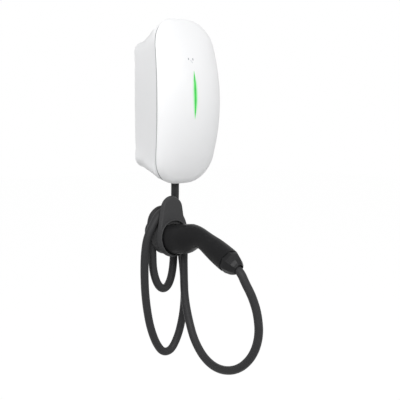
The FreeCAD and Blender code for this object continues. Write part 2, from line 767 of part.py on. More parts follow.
def make_bracket():
    """Pressed steel wall plate with hooks above, pressed nuts below and four wall holes."""
    width = RECESS_WIDTH - 2 * BRACKET_MARGIN
    height = RECESS_HEIGHT - 2 * BRACKET_MARGIN
    plate = rounded_block(0, 0, width, height, 0.0, BRACKET_PLATE, 5.0)
    windows = [rounded_block(x, GROMMET_Z, BRACKET_WINDOW, BRACKET_WINDOW, -1, RECESS_DEPTH, 6.0)
               for x in (GROMMET_X, -GROMMET_X)]
    parts = []
    for sx in (-1, 1):
        x = sx * HOOK_SPACING / 2
        reach = floor_out() + 0.6
        low = HOOK_Z - HOOK_HEIGHT / 2 - 1.5
        arm = block(x, low, HOOK_WIDTH, BRACKET_PLATE, BRACKET_PLATE - 0.5, reach + BRACKET_PLATE)
        lip = block(x, low + HOOK_HEIGHT / 2 - 0.5, HOOK_WIDTH, HOOK_HEIGHT, reach, reach + BRACKET_PLATE)
        parts.append(fuse(arm, lip))
        nut_x = sx * NUT_SPACING / 2
        parts.append(cylinder(at(nut_x, BRACKET_PLATE - 0.5, NUT_Z), at(nut_x, RECESS_DEPTH, NUT_Z),
                              NUT_RADIUS))
    shape = fuse(plate, *parts)
    cuts = windows
    for sx in (-1, 1):
        for sz in (-1, 1):
            x = sx * FIX_SPACING_X / 2
            z = sz * FIX_SPACING_Z / 2
            cuts.append(cylinder(at(x, -1, z), at(x, 9, z), BRACKET_HOLE))
        nut_x = sx * NUT_SPACING / 2
        cuts.append(cylinder(at(nut_x, -1, NUT_Z), at(nut_x, 12, NUT_Z), M4 - 0.05))
    return shape.cut(cuts)


def make_bracket_screws():
    """Two screws that lock the housing to the bracket's pressed nuts."""
    return Part.makeCompound([screw(floor_out(), 0.5, sx * NUT_SPACING / 2, NUT_Z, M4 - 0.05)
                              for sx in (-1, 1)])


def make_supply_grommet():
    """Rubber grommet where the supply cable comes in from the wall."""
    low = RECESS_DEPTH
    high = floor_out()
    neck = cylinder(at(GROMMET_X, low, GROMMET_Z), at(GROMMET_X, high, GROMMET_Z), GROMMET_NECK)
    lip_a = cylinder(at(GROMMET_X, low - 2.5, GROMMET_Z), at(GROMMET_X, low, GROMMET_Z), GROMMET_LIP)
    lip_b = cone(at(GROMMET_X, high, GROMMET_Z), at(GROMMET_X, high + 4, GROMMET_Z), GROMMET_LIP,
                 GROMMET_BORE + 2.5)
    bore = cylinder(at(GROMMET_X, 0, GROMMET_Z), at(GROMMET_X, 30, GROMMET_Z), GROMMET_BORE)
    return fuse(neck, lip_a, lip_b).cut(bore)


def upright_hexagon(radius, z_a, z_b):
    """Six-sided bar standing in the gland's axis."""
    points = []
    for i in range(7):
        turn = math.radians(60 * i)
        points.append(at(radius * math.cos(turn), GLAND_OUT + radius * math.sin(turn), z_a))
    return Part.Face(Part.makePolygon(points)).extrude(Vec(0, 0, z_b - z_a))


def gland_bar(z_a, z_b, radius):
    """Round bar in the gland's axis."""
    return cylinder(at(0, GLAND_OUT, z_a), at(0, GLAND_OUT, z_b), radius)


def make_gland_body():
    """Gland body: thread through the housing, hexagon outside, bored for the cable."""
    face = gland_face()
    thread = gland_bar(face, BACK_BOTTOM + WALL + 8.0, GLAND_THREAD)
    hexagon = upright_hexagon(GLAND_HEX, face - GLAND_HEX_HEIGHT, face)
    neck = gland_bar(face - GLAND_HEX_HEIGHT - GLAND_NECK_LENGTH, face, GLAND_THREAD)
    bore = gland_bar(cable_start() - 60, cable_start(), CABLE_DIAMETER / 2 + BORE_CLEARANCE)
    core_bore = gland_bar(cable_start() - 1, BACK_BOTTOM + 60, CORE_BORE)
    return fuse(thread, hexagon, neck).cut([bore, core_bore])


def make_gland_locknut():
    """Flat nut that clamps the gland from inside."""
    low = BACK_BOTTOM + WALL
    return upright_hexagon(GLAND_HEX, low, low + 4.5).cut(gland_bar(low - 2, low + 8, GLAND_THREAD + 0.05))


def cable_start():
    """Height of the shoulder in the gland that the cable's sheath ends on."""
    return gland_face() - GLAND_HEX_HEIGHT - CABLE_SEAT_DEPTH


def gland_end():
    """Lowest point of the gland's dome nut."""
    return gland_face() - GLAND_HEX_HEIGHT - GLAND_DOME_HEIGHT


def make_gland_nut():
    """Dome nut: hexagon above, rounded taper below, bored to pass the cable."""
    top = gland_face() - GLAND_HEX_HEIGHT
    end = gland_end()
    hexagon = upright_hexagon(GLAND_HEX, top - 8.0, top - 0.2)
    dome_a = cone(at(0, GLAND_OUT, top - 8.0), at(0, GLAND_OUT, top - 14.0), GLAND_HEX * 0.86,
                  GLAND_HEX * 0.80)
    dome_b = cone(at(0, GLAND_OUT, top - 14.0), at(0, GLAND_OUT, end), GLAND_HEX * 0.80, GLAND_TIP)
    bore = gland_bar(end - 1, top + 1, CABLE_DIAMETER / 2 + BORE_CLEARANCE)
    pocket = gland_bar(top - 10.5, top + 1, GLAND_THREAD + 0.1)
    return fuse(hexagon, dome_a, dome_b).cut([bore, pocket])


def make_gland_seal():
    """Rubber sleeve squeezed round the cable inside the gland."""
    top = gland_face() - GLAND_HEX_HEIGHT - GLAND_NECK_LENGTH
    ring = gland_bar(top - 1.4, top, GLAND_THREAD - 0.4)
    return ring.cut(gland_bar(top - 9, top + 9, CABLE_DIAMETER / 2 + BORE_CLEARANCE))


def tilted(along, up=0.0, side=0.0):
    """Point in the socket's own axes: along the plug's way out, up and sideways."""
    t = math.radians(SOCKET_TILT)
    out = SOCKET_OUT + along * math.cos(t) - up * math.sin(t)
    z = SOCKET_Z + along * math.sin(t) + up * math.cos(t)
    return at(DOCK_X + side, out, z)


def tilted_bar(a, b, radius, end_radius=None):
    """Round bar or taper in the socket's axis."""
    if end_radius is None:
        return cylinder(tilted(a), tilted(b), radius)
    return cone(tilted(a), tilted(b), radius, end_radius)


def two_circle_outline(top_radius, low_radius, out, top_z=SHIELD_TOP_Z, low_z=SOCKET_Z):
    """Outline of a small circle above a large one, joined by straight tangent sides."""
    gap = top_z - low_z
    lean = math.asin((low_radius - top_radius) / gap)
    cos, sin = math.cos(lean), math.sin(lean)
    tr = at(DOCK_X + top_radius * cos, out, top_z + top_radius * sin)
    tl = at(DOCK_X - top_radius * cos, out, top_z + top_radius * sin)
    lr = at(DOCK_X + low_radius * cos, out, low_z + low_radius * sin)
    ll = at(DOCK_X - low_radius * cos, out, low_z + low_radius * sin)
    top = Part.Arc(tr, at(DOCK_X, out, top_z + top_radius), tl).toShape()
    low = Part.Arc(ll, at(DOCK_X, out, low_z - low_radius), lr).toShape()
    return Part.Wire([top, Part.makeLine(tl, ll), low, Part.makeLine(lr, tr)])


def shield_solid(inset, out_a, out_b):
    """Shield block that narrows a little towards the room."""
    span = SHIELD_FRONT_OUT - SHIELD_BACK_OUT
    wires = []
    for out in (out_a, out_b):
        grow = SHIELD_FLARE * (SHIELD_FRONT_OUT - out) / span - inset
        wires.append(two_circle_outline(SHIELD_TOP_RADIUS + grow, RING_RADIUS - SHIELD_LOW_STEP + grow,
                                        out))
    return Part.makeLoft(wires, True, True)


def make_dock_shield():
    """Front shield with the raised ring of the socket's mouth."""
    skin = shield_solid(0.0, SHIELD_BACK_OUT, SHIELD_FRONT_OUT)
    rim = [e for e in skin.Edges if abs(e.BoundBox.YMin + SHIELD_FRONT_OUT) < 0.01
           and abs(e.BoundBox.YMax + SHIELD_FRONT_OUT) < 0.01]
    skin = skin.makeFillet(SHIELD_ROUND, rim)
    hollow = shield_solid(SHIELD_WALL, SHIELD_BACK_OUT - 1, SHIELD_FRONT_OUT - SHIELD_WALL)
    ring = tilted_bar(-13.0, 0.0, RING_RADIUS + 1.2, RING_RADIUS)
    ring = ring.makeFillet(1.6, [e for e in ring.Edges if e.Curve.TypeId == "Part::GeomCircle"
                                 and abs(e.Curve.Radius - RING_RADIUS) < 0.01])
    behind = block(DOCK_X, SOCKET_Z, 160, 160, 0.0, SHIELD_BACK_OUT)
    ring = ring.cut(behind)
    bosses = [cylinder(at(DOCK_X + sx * SHIELD_SCREW_X, SHIELD_BACK_OUT, SHIELD_SCREW_Z),
                       at(DOCK_X + sx * SHIELD_SCREW_X, SHIELD_FRONT_OUT - 1.0, SHIELD_SCREW_Z), 3.6)
              for sx in (-1, 1)]
    shape = fuse(skin.cut(hollow), ring, *bosses)
    cuts = [tilted_bar(-MOUTH_DEPTH, 9.0, MOUTH_BORE),
            tilted_bar(-40.0, 9.0, CUP_BORE + CUP_WALL + 0.15)]
    for sx in (-1, 1):
        x = DOCK_X + sx * SHIELD_SCREW_X
        cuts.append(cylinder(at(x, SHIELD_BACK_OUT - 1, SHIELD_SCREW_Z),
                             at(x, SHIELD_FRONT_OUT - 2.4, SHIELD_SCREW_Z), M3 - 0.3))
    return shape.cut(cuts)


def make_dock_body():
    """Neck that carries the hung cable, the plug's cup and the plate behind the shield."""
    foot = cylinder(at(DOCK_X, 0, FOOT_Z), at(DOCK_X, FLANGE_THICKNESS, FOOT_Z), FLANGE_RADIUS)
    foot = foot.makeFillet(1.5, [e for e in foot.Edges if abs(e.BoundBox.YMin + FLANGE_THICKNESS) < 0.01
                                 and abs(e.BoundBox.YMax + FLANGE_THICKNESS) < 0.01])
    circles = []
    for out, z, radius in ((FLANGE_THICKNESS - 0.5, FOOT_Z, FOOT_RADIUS),
                           (NECK_START, NECK_Z, NECK_RADIUS)):
        circles.append(Part.Wire(Part.makeCircle(radius, at(DOCK_X, out, z), Vec(0, -1, 0))))
    sweep = Part.makeLoft(circles, True, True)
    plate_back = SHIELD_BACK_OUT - DOCK_PLATE
    neck = cylinder(at(DOCK_X, NECK_START, NECK_Z), at(DOCK_X, plate_back + 1, NECK_Z), NECK_RADIUS)
    cup = tilted_bar(-CUP_DEPTH - CUP_FLOOR, -MOUTH_DEPTH, CUP_BORE + CUP_WALL)
    waist = tilted_bar(-CUP_DEPTH - CUP_FLOOR - WAIST_LENGTH, -CUP_DEPTH - CUP_FLOOR,
                       FOOT_RADIUS + 1.0, CUP_BORE + CUP_WALL - 3.0)
    drum = cylinder(at(DOCK_X, DRUM_START, SOCKET_Z), at(DOCK_X, plate_back, SOCKET_Z), DRUM_RADIUS)
    web = cylinder(at(DOCK_X, NECK_START - 2, SOCKET_Z + 4), at(DOCK_X, SOCKET_OUT - 35, SOCKET_Z + 4),
                   FOOT_RADIUS)
    plate = Part.Face(two_circle_outline(SHIELD_TOP_RADIUS + 0.5, CUP_BORE + CUP_WALL + 2.4, plate_back))
    plate = plate.extrude(at(0, SHIELD_BACK_OUT - plate_back, 0))
    shape = fuse(foot, sweep, neck, cup, waist, web, drum, plate)
    hollow = []
    for out, z, radius in ((-1.0, FOOT_Z, FOOT_RADIUS - NECK_WALL),
                           (NECK_START, FOOT_Z, FOOT_RADIUS - NECK_WALL - 2.0)):
        hollow.append(Part.Wire(Part.makeCircle(radius, at(DOCK_X, out, z), Vec(0, -1, 0))))
    cuts = [tilted_bar(-CUP_DEPTH, 20.0, CUP_BORE),
            Part.makeLoft(hollow, True, True),
            cylinder(at(DOCK_X, -1, FOOT_Z), at(DOCK_X, 80, FOOT_Z), M4 + SCREW_CLEARANCE),
            cylinder(at(DOCK_X, -1, FOOT_Z), at(DOCK_X, PLATE_THICKNESS, FOOT_Z), PLATE_RADIUS + 0.3)]
    for sx in (-1, 1):
        x = DOCK_X + sx * SHIELD_SCREW_X
        cuts.append(cylinder(at(x, plate_back - 1, SHIELD_SCREW_Z),
                             at(x, SHIELD_BACK_OUT + 1, SHIELD_SCREW_Z), M3 + SCREW_CLEARANCE))
    return shape.cut(cuts)


def make_dock_wall_plate():
    """Small plate screwed to the wall inside the neck, with a threaded boss in its middle."""
    disc = cylinder(at(DOCK_X, 0, FOOT_Z), at(DOCK_X, PLATE_THICKNESS, FOOT_Z), PLATE_RADIUS)
    boss = cylinder(at(DOCK_X, 0, FOOT_Z), at(DOCK_X, 12.0, FOOT_Z), 4.5)
    cuts = [cylinder(at(DOCK_X, -1, FOOT_Z), at(DOCK_X, 14, FOOT_Z), M4 - 0.05)]
    for sz in (-1, 1):
        z = FOOT_Z + sz * DOCK_FIX_SPACING / 2
        cuts.append(cylinder(at(DOCK_X, -1, z), at(DOCK_X, 9, z), DOCK_HOLE))
    return fuse(disc, boss).cut(cuts)


def cup_floor_out():
    """Distance out of the cup's floor at the height of the fixing screw."""
    t = math.radians(SOCKET_TILT)
    up = (FOOT_Z - SOCKET_Z + CUP_DEPTH * math.sin(t)) / math.cos(t)
    return SOCKET_OUT - CUP_DEPTH * math.cos(t) - up * math.sin(t)


def make_dock_fixing_screw():
    """Long screw from the cup's floor to the wall plate."""
    return screw(cup_floor_out() + 0.5, 1.0, DOCK_X, FOOT_Z, M4 - 0.05)


def make_dock_shield_screws():
    """Two small screws that hold the shield from behind."""
    return Part.makeCompound([screw(SHIELD_BACK_OUT - DOCK_PLATE, SHIELD_FRONT_OUT - 3.0,
                                    DOCK_X + sx * SHIELD_SCREW_X, SHIELD_SCREW_Z, M3 - 0.25)
                              for sx in (-1, 1)])


def flat_top(a, b, height):
    """Block above the plug's flat, to cut it."""
    low = tilted(a, height, -60)
    turned = Part.makeBox(120, b - a, 60, Vec(0, -(b - a), 0))
    turned.rotate(Vec(0, 0, 0), Vec(1, 0, 0), -SOCKET_TILT)
    turned.translate(low)
    return turned


def station_wire(station, inset):
    """Rounded cut of the handle, its top a little flatter where the barrel is."""
    out, z, lean, half = station
    t = math.radians(lean)
    radius = half - inset
    centre = at(DOCK_X, out, z)
    axis = Vec(0, -math.cos(t), math.sin(t))
    circle = Part.makeCircle(radius, centre, axis)
    return Part.Wire(circle)


def handle_solid(inset, first=0):
    """Smooth body through the handle's stations from the first one named."""
    return Part.makeLoft([station_wire(s, inset) for s in HANDLE_STATIONS[first:]], True, False)


def handle_end(along, side=0.0):
    """Point in the handle's own axis, measured from its end towards the cable."""
    out, z, lean, _half = HANDLE_STATIONS[-1]
    t = math.radians(lean)
    return at(DOCK_X + side, out + along * math.cos(t), z + along * math.sin(t))


def make_plug_housing():
    """Hollow moulded barrel, bend and handle with the round shroud that enters the dock."""
    nose = tilted_bar(-NOSE_LENGTH, 0.0, CUP_BORE - NOSE_CLEARANCE)
    body = fuse(handle_solid(0.0), nose)
    body = body.cut(flat_top(-MOUTH_DEPTH - 1, 52.0, FLAT_HEIGHT))
    cuts = [tilted_bar(-NOSE_LENGTH - 1, CAVITY_OVERLAP, CUP_BORE - NOSE_CLEARANCE - CARRIER_WALL),
            handle_solid(HANDLE_WALL, 1).cut(flat_top(-20.0, 60.0, FLAT_HEIGHT - SHELL_WALL))]
    end_bore = cylinder(handle_end(-30.0), handle_end(1.0), CABLE_DIAMETER / 2 + 5.0)
    return body.cut(cuts).cut(end_bore)


def contact_places():
    """Middle of each contact: five large ones in a ring and centre, two small ones above."""
    large = [(0.0, 0.0)]
    for turn in (0.0, 180.0, 240.0, 300.0):
        a = math.radians(turn)
        large.append((CONTACT_PITCH * math.cos(a), CONTACT_PITCH * math.sin(a)))
    small = [(-8.4, 13.2), (8.4, 13.2)]
    return large, small


def make_contact_carrier():
    """Insulating insert with a well for each contact."""
    radius = CUP_BORE - NOSE_CLEARANCE - CARRIER_WALL - 0.15
    start = -NOSE_LENGTH + CARRIER_RECESS
    body = tilted_bar(start, start + CARRIER_LENGTH, radius)
    large, small = contact_places()
    cuts = []
    for group, size in ((large, CONTACT_RADIUS + 0.4), (small, SMALL_CONTACT_RADIUS + 0.4)):
        for side, up in group:
            a = tilted(start - 1, up, side)
            b = tilted(start + CARRIER_LENGTH - 4.0, up, side)
            cuts.append(cylinder(a, b, size))
    return body.cut(cuts)


def make_contacts():
    """Seven round sockets, each bored from the front and seated in the carrier's floor."""
    start = -NOSE_LENGTH + CARRIER_RECESS
    large, small = contact_places()
    sleeves = []
    for group, size in ((large, CONTACT_RADIUS), (small, SMALL_CONTACT_RADIUS)):
        for side, up in group:
            body = cylinder(tilted(start + 1.5, up, side), tilted(start + CARRIER_LENGTH - 4.0, up, side),
                            size)
            bore = cylinder(tilted(start, up, side), tilted(start + 20.0, up, side), size - 1.0)
            sleeves.append(body.cut(bore))
    return Part.makeCompound(sleeves)


def nut_section(along, radius):
    """Eight-sided outline square to the handle's end."""
    t = math.radians(HANDLE_PITCH)
    up = Vec(0, math.sin(t), math.cos(t))
    side = Vec(1, 0, 0)
    centre = handle_end(along)
    points = []
    for i in range(NUT_SIDES + 1):
        a = 2 * math.pi * (i + 0.5) / NUT_SIDES
        points.append(centre + side * (radius * math.cos(a)) + up * (radius * math.sin(a)))
    return Part.makePolygon(points)


def make_clamp_nut():
    """Eight-sided tapered nut with a rounded tip, bored for the cable."""
    steps = ((0.0, NUT_BASE), (8.0, NUT_BASE - 0.6), (20.0, NUT_BASE - 4.6), (26.0, NUT_BASE - 8.0),
             (NUT_LENGTH, NUT_BASE - 11.4))
    body = None
    for (a, ra), (b, rb) in zip(steps, steps[1:]):
        piece = Part.makeLoft([nut_section(a, ra), nut_section(b, rb)], True, True)
        body = piece if body is None else body.fuse(piece)
    bore = cylinder(handle_end(-1.0), handle_end(NUT_LENGTH + 2), CABLE_DIAMETER / 2 + BORE_CLEARANCE)
    pocket = cylinder(handle_end(-1.0), handle_end(SEAL_END + 1.0), CABLE_DIAMETER / 2 + 5.0)
    mouth = cone(handle_end(NUT_LENGTH - NUT_MOUTH_LENGTH), handle_end(NUT_LENGTH + 0.5),
                 CABLE_DIAMETER / 2 + BORE_CLEARANCE,
                 CABLE_DIAMETER / 2 + BORE_CLEARANCE + NUT_MOUTH_FLARE)
    return body.removeSplitter().cut([bore, pocket, mouth])


def make_strain_seal():
    """Rubber sleeve that grips the cable inside the nut and the handle's end."""
    sleeve = cylinder(handle_end(SEAL_START), handle_end(SEAL_END), CABLE_DIAMETER / 2 + 4.7)
    bore = cylinder(handle_end(CABLE_END), handle_end(SEAL_END + 1.0),
                    CABLE_DIAMETER / 2 + BORE_CLEARANCE)
    core_bore = cylinder(handle_end(SEAL_START - 1.0), handle_end(CABLE_END + 1.0), CORE_BORE)
    return sleeve.cut([bore, core_bore])


def route_points():
    """The cable's route with its ends set by the gland and the plug."""
    points = [at(*p) for p in CABLE_ROUTE]
    points[0] = at(0, GLAND_OUT, cable_start())
    points[-1] = handle_end(CABLE_END)
    points[-2] = handle_end(NUT_LENGTH + NUT_MOUTH_REACH)
    return points


def cable_path(points, radii):
    """Straight runs joined by arcs as large as the runs beside them allow."""
    edges = []
    start = points[0]
    for i in range(1, len(points) - 1):
        a, b, c = points[i - 1], points[i], points[i + 1]
        u = (a - b).normalize()
        v = (c - b).normalize()
        turn = math.pi - u.getAngle(v)
        trim = 0.45 * min((a - b).Length, (c - b).Length)
        radii.append((round(trim / math.tan(turn / 2), 1), i))
        p = b + u * trim
        q = b + v * trim
        half = (u + v).normalize()
        radius = trim / math.tan(turn / 2)
        middle = b + half * (radius / math.cos(turn / 2) - radius)
        edges.append(Part.LineSegment(start, p).toShape())
        edges.append(Part.Arc(p, middle, q).toShape())
        start = q
    edges.append(Part.LineSegment(start, points[-1]).toShape())
    return Part.Wire(edges)


def make_cable():
    """Charging cable as one round tube along its route."""
    points = route_points()
    radii = []
    path = cable_path(points, radii)
    first = (points[1] - points[0]).normalize()
    section = Part.Wire(Part.makeCircle(CABLE_DIAMETER / 2, points[0], first))
    tube = path.makePipeShell([section], True, True)
    area = math.pi * (CABLE_DIAMETER / 2) ** 2
    print("cable length %.0f, volume over section times length %.4f, tightest bends"
          % (path.Length, tube.Volume / (area * path.Length)), sorted(radii)[:6])
    runs = [(b - a).Length for a, b in zip(points, points[1:])]
    print("runs from %.0f to %.0f" % (min(runs), max(runs)),
          "uneven", [i for i, (a, b) in enumerate(zip(runs, runs[1:])) if max(a, b) > 2 * min(a, b)])
    return tube


MAKERS = (
    ("wall_bracket", make_bracket),
    ("bracket_screws", make_bracket_screws),
    ("rear_housing", make_rear_housing),
    ("supply_grommet", make_supply_grommet),
    ("housing_gasket", make_housing_gasket),
    ("front_cover", make_front_cover),
    ("cover_screws", make_cover_screws),
    ("light_guide", make_light_guide),
    ("light_board", make_light_board),
    ("front_frame", make_front_frame),
    ("reader_board", make_reader_board),
    ("main_board", make_main_board),
    ("board_screws", make_board_screws),
    ("power_relay_left", lambda: make_relay(-RELAY_X)),
    ("power_relay_right", lambda: make_relay(RELAY_X)),
    ("leakage_sensor", make_leakage_sensor),
    ("supply_terminals", lambda: make_terminals(SUPPLY_TERMINAL_X, SUPPLY_TERMINAL_Z, 4)),
    ("cable_terminals", lambda: make_terminals(CABLE_TERMINAL_X, CABLE_TERMINAL_Z, 5)),
    ("power_supply_block", make_power_supply),
    ("capacitors", make_capacitors),
    ("wireless_module", make_wireless_module),
    ("gland_body", make_gland_body),
    ("gland_locknut", make_gland_locknut),
    ("gland_nut", make_gland_nut),
    ("gland_seal", make_gland_seal),
    ("dock_wall_plate", make_dock_wall_plate),
    ("dock_body", make_dock_body),
    ("dock_fixing_screw", make_dock_fixing_screw),
    ("dock_shield", make_dock_shield),
    ("dock_shield_screws", make_dock_shield_screws),
    ("plug_housing", make_plug_housing),
    ("contact_carrier", make_contact_carrier),
    ("plug_contacts", make_contacts),
    ("clamp_nut", make_clamp_nut),
    ("strain_seal", make_strain_seal),
    ("charging_cable", make_cable),
)

os.makedirs("parts", exist_ok=True)
for node, maker in MAKERS:
    export(node, maker())
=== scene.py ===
"""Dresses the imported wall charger: finishes, cable, small pieces, light and camera."""

import logging
import math
from dataclasses import dataclass
from enum import Enum

import bpy
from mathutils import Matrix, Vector


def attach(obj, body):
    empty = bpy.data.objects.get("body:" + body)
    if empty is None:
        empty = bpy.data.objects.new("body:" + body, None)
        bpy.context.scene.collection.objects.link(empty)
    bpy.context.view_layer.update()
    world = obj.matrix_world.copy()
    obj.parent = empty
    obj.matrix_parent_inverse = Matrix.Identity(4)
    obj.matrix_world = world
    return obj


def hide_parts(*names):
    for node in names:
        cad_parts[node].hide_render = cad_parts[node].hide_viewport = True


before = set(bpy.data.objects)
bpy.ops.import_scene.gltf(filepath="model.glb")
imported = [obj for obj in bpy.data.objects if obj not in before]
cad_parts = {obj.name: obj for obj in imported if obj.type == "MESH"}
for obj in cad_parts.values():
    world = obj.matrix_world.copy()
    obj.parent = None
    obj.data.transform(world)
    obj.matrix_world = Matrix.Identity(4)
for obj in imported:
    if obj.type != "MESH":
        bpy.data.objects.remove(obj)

LOG = logging.getLogger("wallbox")
ROOT = "root"
MM = 0.001
# vertices closer than this are one
WELD = 0.00001
# a sharper turn than this between two faces stays an edge, in degrees
SHARP_ANGLE = 30.0
# the middle share of a noise, which carries nearly all of it
NOISE_LOW = 0.3
NOISE_HIGH = 0.7
# the shut line between housing and cover is an arc seen from the side: its crown and radius
SEAM_OUT_MM = 69.6
SEAM_RADIUS_MM = 536.0
# the light bar's middle, measured up from the frame's origin
BAR_CENTRE_MM = 13.0
# a colour mix has numbers and colours under the same names, so its sockets go by number
MIX_SHARE = 0
MIX_FIRST = 6
MIX_SECOND = 7
MIX_BLEND = 2
Point = tuple[float, float, float]


class Coat(Enum):
    """How a moulded face was left by its tool."""

    POLISHED = "polished"
    SATIN = "satin"
    GRAINED = "grained"


def linear(code: str) -> tuple[float, float, float, float]:
    """Turns an sRGB hex colour into linear red, green, blue and alpha.

    Args:
        code: six hex digits.

    Returns:
        The colour as Blender's sockets want it.
    """
    values = []
    for i in (0, 2, 4):
        c = int(code[i:i + 2], 16) / 255.0
        values.append(c / 12.92 if c <= 0.04045 else ((c + 0.055) / 1.055) ** 2.4)
    return values[0], values[1], values[2], 1.0


def add(tree: bpy.types.NodeTree, kind: str, inputs: dict | None = None,
        **settings: object) -> bpy.types.Node:
    """Adds one node with its settings, plain values and links.

    Args:
        tree: the material's node tree.
        kind: the node's type name.
        inputs: input name or number to a value, or to the output socket that feeds it.
        settings: the node's own properties.

    Returns:
        The new node.
    """
    new = tree.nodes.new(kind)
    for name, value in settings.items():
        setattr(new, name, value)
    for key, value in (inputs or {}).items():
        if isinstance(value, bpy.types.NodeSocket):
            tree.links.new(value, new.inputs[key])
        else:
            new.inputs[key].default_value = value
    return new


def mix_colour(tree: bpy.types.NodeTree, share: bpy.types.NodeSocket, low: object,
               high: object) -> bpy.types.NodeSocket:
    """Blends two colours.

    Args:
        tree: the material's node tree.
        share: the output that says how much of the second colour shows.
        low: the first colour, as a value or an output.
        high: the second colour, as a value or an output.

    Returns:
        The output that carries the blend.
    """
    blend = add(tree, "ShaderNodeMix", {MIX_SHARE: share, MIX_FIRST: low, MIX_SECOND: high},
                data_type="RGBA")
    return blend.outputs[MIX_BLEND]


def start_material(name: str) -> tuple[bpy.types.Material, bpy.types.NodeTree, bpy.types.Node]:
    """Opens an empty material with a principled shader wired to its output.

    Args:
        name: the material's name.

    Returns:
        The material, its tree and its principled shader.
    """
    material = bpy.data.materials.new(name)
    material.use_nodes = True
    tree = material.node_tree
    tree.nodes.clear()
    shader = add(tree, "ShaderNodeBsdfPrincipled")
    add(tree, "ShaderNodeOutputMaterial", {"Surface": shader.outputs["BSDF"]})
    return material, tree, shader


def object_place(tree: bpy.types.NodeTree) -> bpy.types.NodeSocket:
    """Gives the output with the object's own coordinates, in metres."""
    return add(tree, "ShaderNodeTexCoord").outputs["Object"]


def combine(tree: bpy.types.NodeTree, operation: str, first: object,
            second: object = 0.0) -> bpy.types.NodeSocket:
    """Does one sum on one or two values.

    Args:
        tree: the material's node tree.
        operation: the sum's name.
        first: the first value or output.
        second: the second value or output, where the sum takes two.

    Returns:
        The output that carries the result.
    """
    return add(tree, "ShaderNodeMath", {0: first, 1: second}, operation=operation).outputs["Value"]


def noise(tree: bpy.types.NodeTree, place: bpy.types.NodeSocket, size_mm: float, detail: float,
          roughness: float = 0.5) -> bpy.types.NodeSocket:
    """Adds a noise whose spots have a real size.

    Args:
        tree: the material's node tree.
        place: the object coordinates.
        size_mm: the size of a spot.
        detail: how many finer layers it carries.
        roughness: how strong the finer layers are.

    Returns:
        The noise's value.
    """
    spots = add(tree, "ShaderNodeTexNoise", {"Vector": place, "Scale": 1.0 / (size_mm * MM),
                                             "Detail": detail, "Roughness": roughness})
    return spots.outputs["Fac"]


def emboss(tree: bpy.types.NodeTree, shader: bpy.types.Node, height: bpy.types.NodeSocket,
           depth_mm: float) -> None:
    """Raises a shader's surface by a pattern.

    Args:
        tree: the material's node tree.
        shader: the principled shader.
        height: the pattern.
        depth_mm: how far it stands up.
    """
    bump = add(tree, "ShaderNodeBump", {"Height": height, "Strength": 1.0,
                                        "Distance": depth_mm * MM})
    tree.links.new(bump.outputs["Normal"], shader.inputs["Normal"])


def vary_gloss(tree: bpy.types.NodeTree, shader: bpy.types.Node, value: bpy.types.NodeSocket,
               low: float, high: float, start: float = NOISE_LOW, end: float = NOISE_HIGH) -> None:
    """Lets a shader's roughness follow a pattern.

    Args:
        tree: the material's node tree.
        shader: the principled shader.
        value: the pattern.
        low: the roughness at the pattern's start.
        high: the roughness at its end.
        start: the pattern's value that gives the first roughness.
        end: the pattern's value that gives the second.
    """
    gloss = add(tree, "ShaderNodeMapRange", {"Value": value, "From Min": start, "From Max": end,
                                             "To Min": low, "To Max": high})
    tree.links.new(gloss.outputs["Result"], shader.inputs["Roughness"])


def set_shader(shader: bpy.types.Node, **values: float) -> None:
    """Sets plain numbers on a shader.

    Args:
        shader: the principled shader.
        values: input name to number; an underscore in a name stands for a space.
    """
    for name, value in values.items():
        shader.inputs[name.replace("_", " ")].default_value = value


def seam_shade(tree: bpy.types.NodeTree, place: bpy.types.NodeSocket, colour: object,
               painted_shade_colour: str = "7C7E82", core_mm: float = 0.3,
               reach_mm: float = 1.2) -> bpy.types.NodeSocket:
    """Greys a white shell beside its shut line with painted shade, where the gap between the
    mouldings falls into shadow.

    Args:
        tree: the material's node tree.
        place: the object coordinates.
        colour: the shell's colour, as a value or an output.
        painted_shade_colour: the colour of the painted shade in the line.
        core_mm: how far to either side it is fully grey.
        reach_mm: how far the grey spreads to either side.

    Returns:
        The output that carries the shaded colour.
    """
    split = add(tree, "ShaderNodeSeparateXYZ", {"Vector": place})
    square = combine(tree, "MULTIPLY", split.outputs["Z"], split.outputs["Z"])
    reach = combine(tree, "SQRT", combine(tree, "SUBTRACT", (SEAM_RADIUS_MM * MM) ** 2, square))
    seam = combine(tree, "SUBTRACT", reach, (SEAM_RADIUS_MM - SEAM_OUT_MM) * MM)
    away = combine(tree, "ABSOLUTE", combine(tree, "ADD", seam, split.outputs["Y"]))
    # painted shade: fully grey in the line's core, fading out to either side
    share = add(tree, "ShaderNodeMapRange",
                {"Value": away, "From Min": core_mm * MM, "From Max": reach_mm * MM,
                 "To Min": 1.0, "To Max": 0.0}, interpolation_type="SMOOTHSTEP")
    return mix_colour(tree, share.outputs["Result"], colour, linear(painted_shade_colour))


